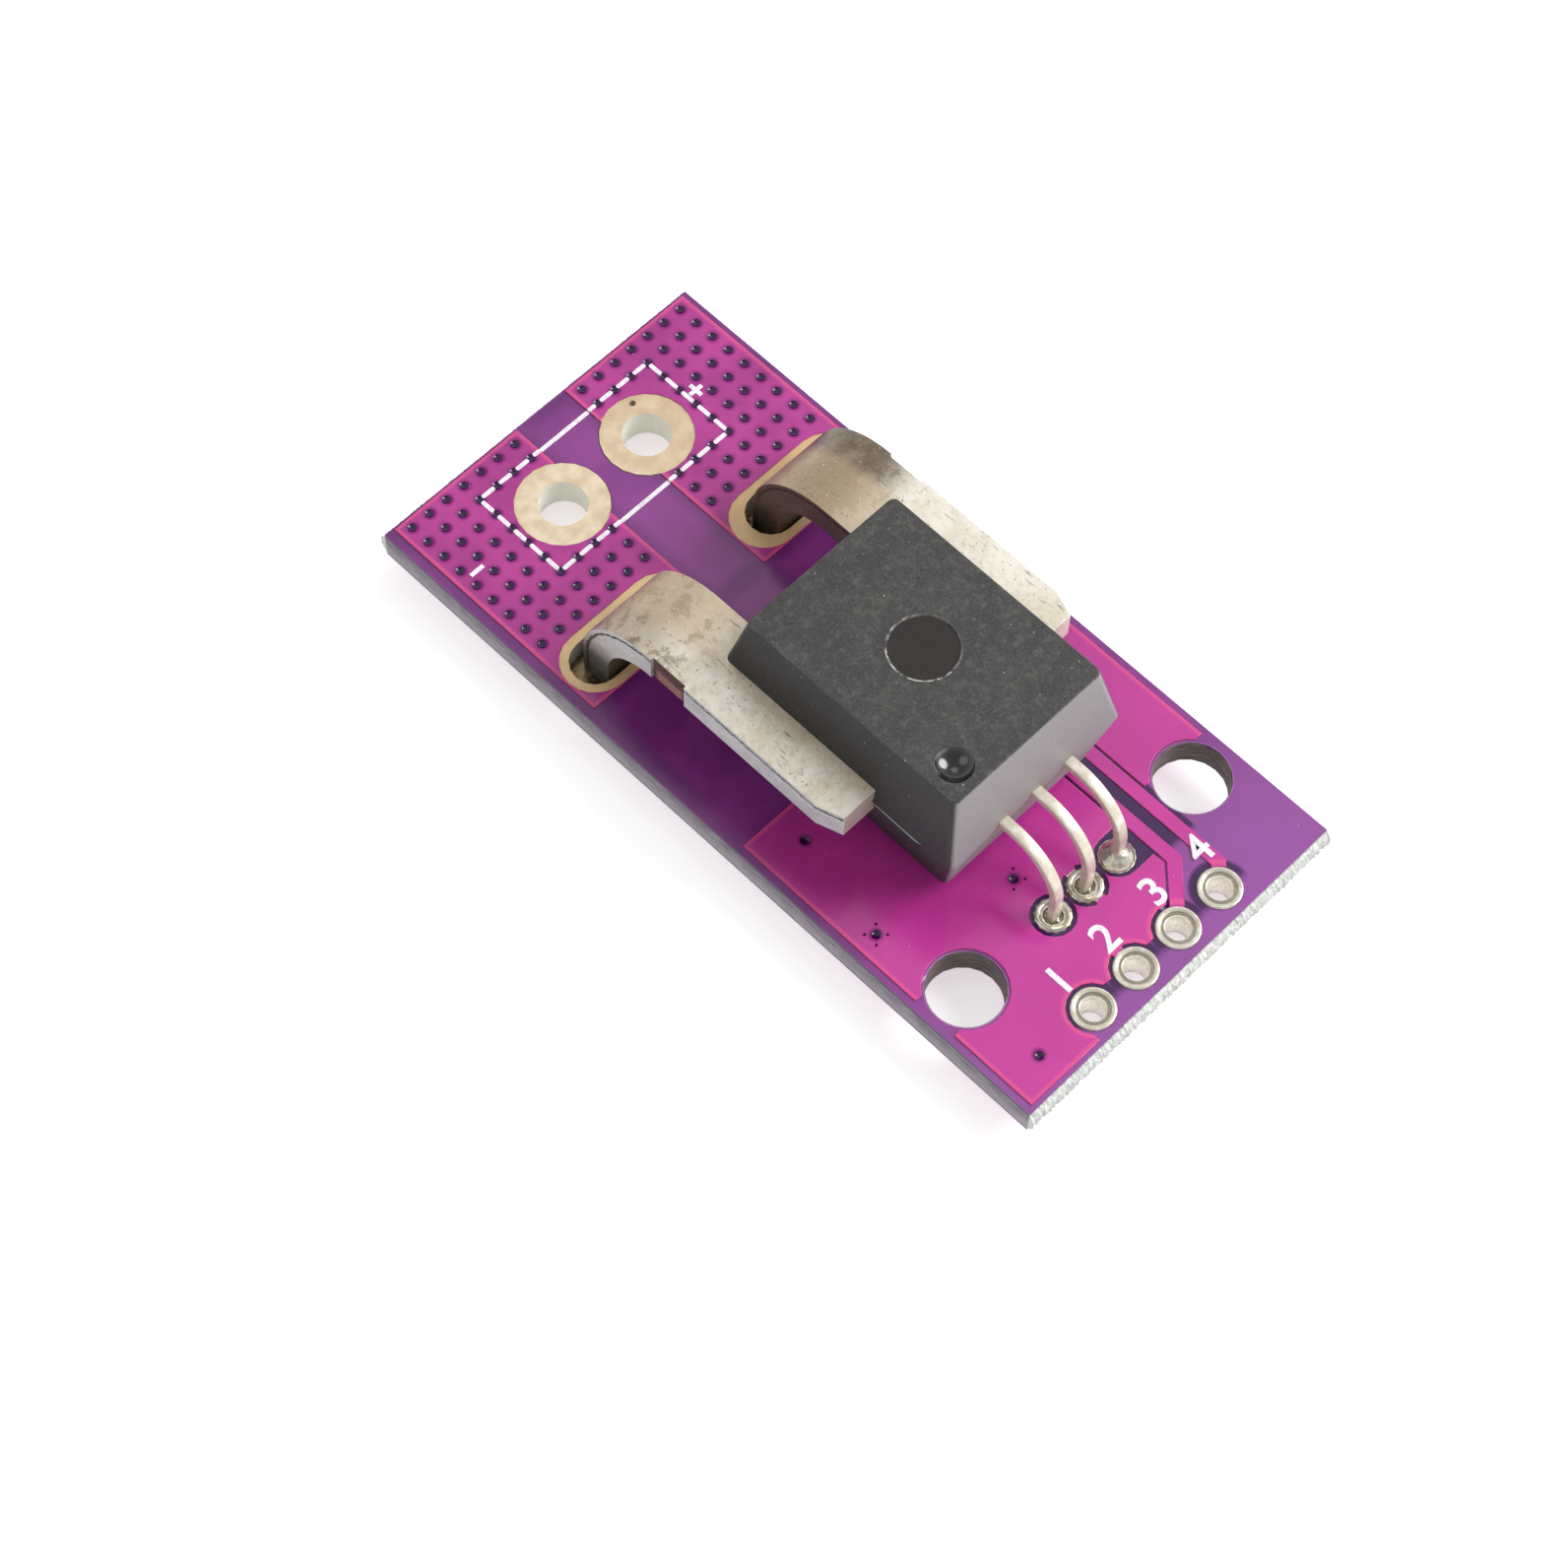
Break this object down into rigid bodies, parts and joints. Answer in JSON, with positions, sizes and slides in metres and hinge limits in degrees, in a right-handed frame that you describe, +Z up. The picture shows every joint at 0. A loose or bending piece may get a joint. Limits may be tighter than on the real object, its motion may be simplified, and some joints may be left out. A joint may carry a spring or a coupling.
{
  "type": "hall effect current sensor",
  "caption": "Hall effect current sensor module: a moulded sensor with bent current blades and signal leads, soldered to a small circuit board with terminal, header and mounting holes.",
  "frame": {"origin": "under the middle of the board, level with the flush-cut tips of the leads and blades", "axes": "+Z up out of the board's component side, +Y along the board from the header holes towards the terminal holes, +X across the board"},
  "size_m": [0.0178, 0.0382, 0.0101],
  "materials": {
    "laminate": "glass and resin laminate with snapped fibrous edges",
    "plated_copper": "tin-plated copper, warm grey and slightly mottled",
    "solder_mask": "glossy magenta mask, darker over bare laminate",
    "print_ink": "matt white ink",
    "moulding": "fine matt mould texture",
    "tinned_blade": "matt tin with fine scratches",
    "core_iron": "dull annealed iron",
    "silicon": "polished",
    "adhesive": "dull",
    "bond_wire": "bright gold",
    "tinned_lead": "matt tin",
    "solder": "bright, smoothly flowed"
  },
  "bodies": {
    "root": {"board_laminate": "laminate", "copper_input": "plated_copper", "copper_return": "plated_copper", "copper_ground": "plated_copper", "copper_supply": "plated_copper", "copper_output": "plated_copper", "mask_top": "solder_mask", "mask_bottom": "solder_mask", "silkscreen": "print_ink", "sensor_body": "moulding", "primary_conductor": "tinned_blade", "magnetic_core": "core_iron", "hall_chip": "silicon", "chip_adhesive": "adhesive", "bond_wires": "bond_wire", "lead_supply": "tinned_lead", "lead_ground": "tinned_lead", "lead_output": "tinned_lead", "blade_solder_input": "solder", "blade_solder_return": "solder", "lead_solder_supply": "solder", "lead_solder_ground": "solder", "lead_solder_output": "solder"}
  },
  "joints": []
}
